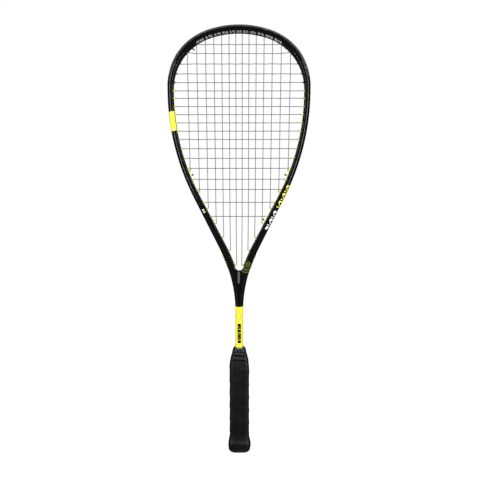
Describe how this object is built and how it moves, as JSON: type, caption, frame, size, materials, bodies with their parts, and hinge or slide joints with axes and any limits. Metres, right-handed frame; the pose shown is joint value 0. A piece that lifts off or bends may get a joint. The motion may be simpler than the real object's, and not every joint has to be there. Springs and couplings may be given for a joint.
{
  "type": "squash racket",
  "caption": "Strung squash racket with a teardrop carbon frame, crown bumper guard, woven string bed, round shaft and a long handle with a wound grip.",
  "frame": {"origin": "middle of the butt end, on the face that the racket stands on", "axes": "+Z along the shaft from the butt to the crown, +Y towards the back, +X to the right seen from the front; the string plane is y = 0"},
  "size_m": [0.2308, 0.0328, 0.686],
  "materials": {
    "frame_lacquer": "clear gloss lacquer over black carbon laminate",
    "bumper": "moulded dark grey nylon, matte",
    "yellow_grommet": "moulded bright yellow nylon, satin",
    "string": "translucent dark grey multifilament nylon",
    "yellow_decal": "bright yellow under clear gloss lacquer",
    "pallet_foam": "rigid polyurethane foam",
    "butt_cap": "moulded black thermoplastic rubber, matte",
    "badge": "domed plastic disc with plain rings",
    "staple_steel": "bright steel wire",
    "grip": "black polyurethane strip with a fine grain, satin",
    "finishing_tape": "black stretch vinyl tape, satin"
  },
  "bodies": {
    "root": {"frame_tube": "frame_lacquer", "bumper_guard": "bumper", "left_grommet_strip": "yellow_grommet", "right_grommet_strip": "yellow_grommet", "main_string": "string", "cross_string": "string", "main_string_knots": "string", "cross_string_knots": "string", "hoop_band": "yellow_decal", "shaft_sleeve": "yellow_decal", "front_pallet": "pallet_foam", "back_pallet": "pallet_foam", "butt_cap": "butt_cap", "butt_cap_staples": "staple_steel", "butt_badge": "badge", "grip_staple": "staple_steel", "grip_tape": "grip", "finishing_tape": "finishing_tape"}
  },
  "joints": []
}
